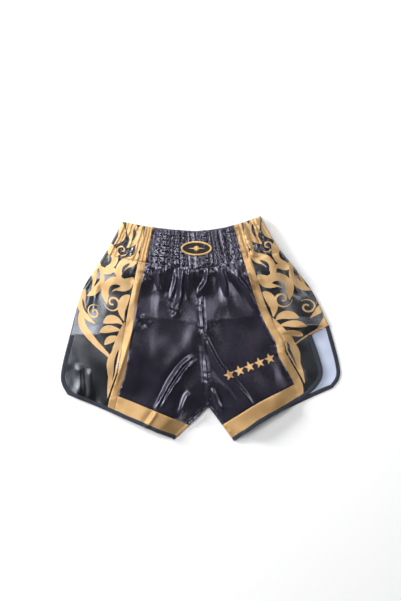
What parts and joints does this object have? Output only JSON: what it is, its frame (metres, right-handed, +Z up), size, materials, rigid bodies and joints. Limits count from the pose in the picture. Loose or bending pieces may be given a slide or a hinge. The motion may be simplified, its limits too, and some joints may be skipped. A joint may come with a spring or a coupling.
{
  "type": "boxing shorts",
  "caption": "Satin boxing shorts laid flat, with a shirred elastic waistband, gold stripes and hem bands, printed side panels, bound hems and open side vents whose flaps lift.",
  "frame": {"origin": "under the middle of the garment's outline as laid, on the surface that it lies on", "axes": "+X towards the wearer's left, +Y from the hems to the waist, +Z up out of the front"},
  "size_m": [0.5322, 0.4228, 0.0213],
  "materials": {
    "black_satin": "glossy woven polyester satin",
    "gold_satin": "glossy woven polyester satin",
    "printed_satin": "satin with gold scroll print on black",
    "binding_tape": "matt woven tape, stitched",
    "elastic": "braided elastic",
    "badge_twill": "close black embroidery",
    "gold_thread": "gold satin-stitch thread",
    "gold_print": "gold applique on satin"
  },
  "bodies": {
    "garment": {"front_panel_left": "black_satin", "front_hem_band_left": "gold_satin", "front_stripe_left": "gold_satin", "front_side_panel_left": "printed_satin", "front_hem_binding_left": "binding_tape", "back_panel_left": "black_satin", "back_hem_band_left": "gold_satin", "back_stripe_left": "gold_satin", "back_side_panel_left": "printed_satin", "back_hem_binding_left": "binding_tape", "front_panel_right": "black_satin", "front_hem_band_right": "gold_satin", "front_stripe_right": "gold_satin", "front_side_panel_right": "printed_satin", "front_hem_binding_right": "binding_tape", "back_panel_right": "black_satin", "back_hem_band_right": "gold_satin", "back_stripe_right": "gold_satin", "back_side_panel_right": "printed_satin", "back_hem_binding_right": "binding_tape", "waist_facing_front": "black_satin", "waist_facing_back": "black_satin", "elastic_1": "elastic", "elastic_2": "elastic", "elastic_3": "elastic", "elastic_4": "elastic", "elastic_5": "elastic", "elastic_6": "elastic", "crotch_gusset": "black_satin", "badge_base": "badge_twill", "badge_ring": "gold_thread", "badge_motif": "gold_thread", "leg_mark_1": "gold_print", "leg_mark_2": "gold_print", "leg_mark_3": "gold_print", "leg_mark_4": "gold_print", "leg_mark_5": "gold_print"},
    "front_left_flap": {"front_flap_left": "black_satin", "front_flap_binding_left": "binding_tape"},
    "back_left_flap": {"back_flap_left": "black_satin", "back_flap_binding_left": "binding_tape"},
    "front_right_flap": {"front_flap_right": "black_satin", "front_flap_binding_right": "binding_tape"},
    "back_right_flap": {"back_flap_right": "black_satin", "back_flap_binding_right": "binding_tape"}
  },
  "joints": [
    {"name": "front_left_flap_fold", "type": "hinge", "parent": "garment", "child": "front_left_flap", "pos_m": [0.20524, -0.00805, 0.0038], "axis": [-0.105, -0.9945, 0], "range_deg": [0, 75]},
    {"name": "back_left_flap_fold", "type": "hinge", "parent": "garment", "child": "back_left_flap", "pos_m": [0.23824, 0.00845, 0], "axis": [0.1313, 0.9913, 0], "range_deg": [0, 60]},
    {"name": "front_right_flap_fold", "type": "hinge", "parent": "garment", "child": "front_right_flap", "pos_m": [-0.24076, -0.00905, 0.0038], "axis": [-0.3152, 0.949, 0], "range_deg": [0, 75]},
    {"name": "back_right_flap_fold", "type": "hinge", "parent": "garment", "child": "back_right_flap", "pos_m": [-0.24176, -0.00855, 0], "axis": [0.3153, -0.949, 0], "range_deg": [0, 60]}
  ]
}
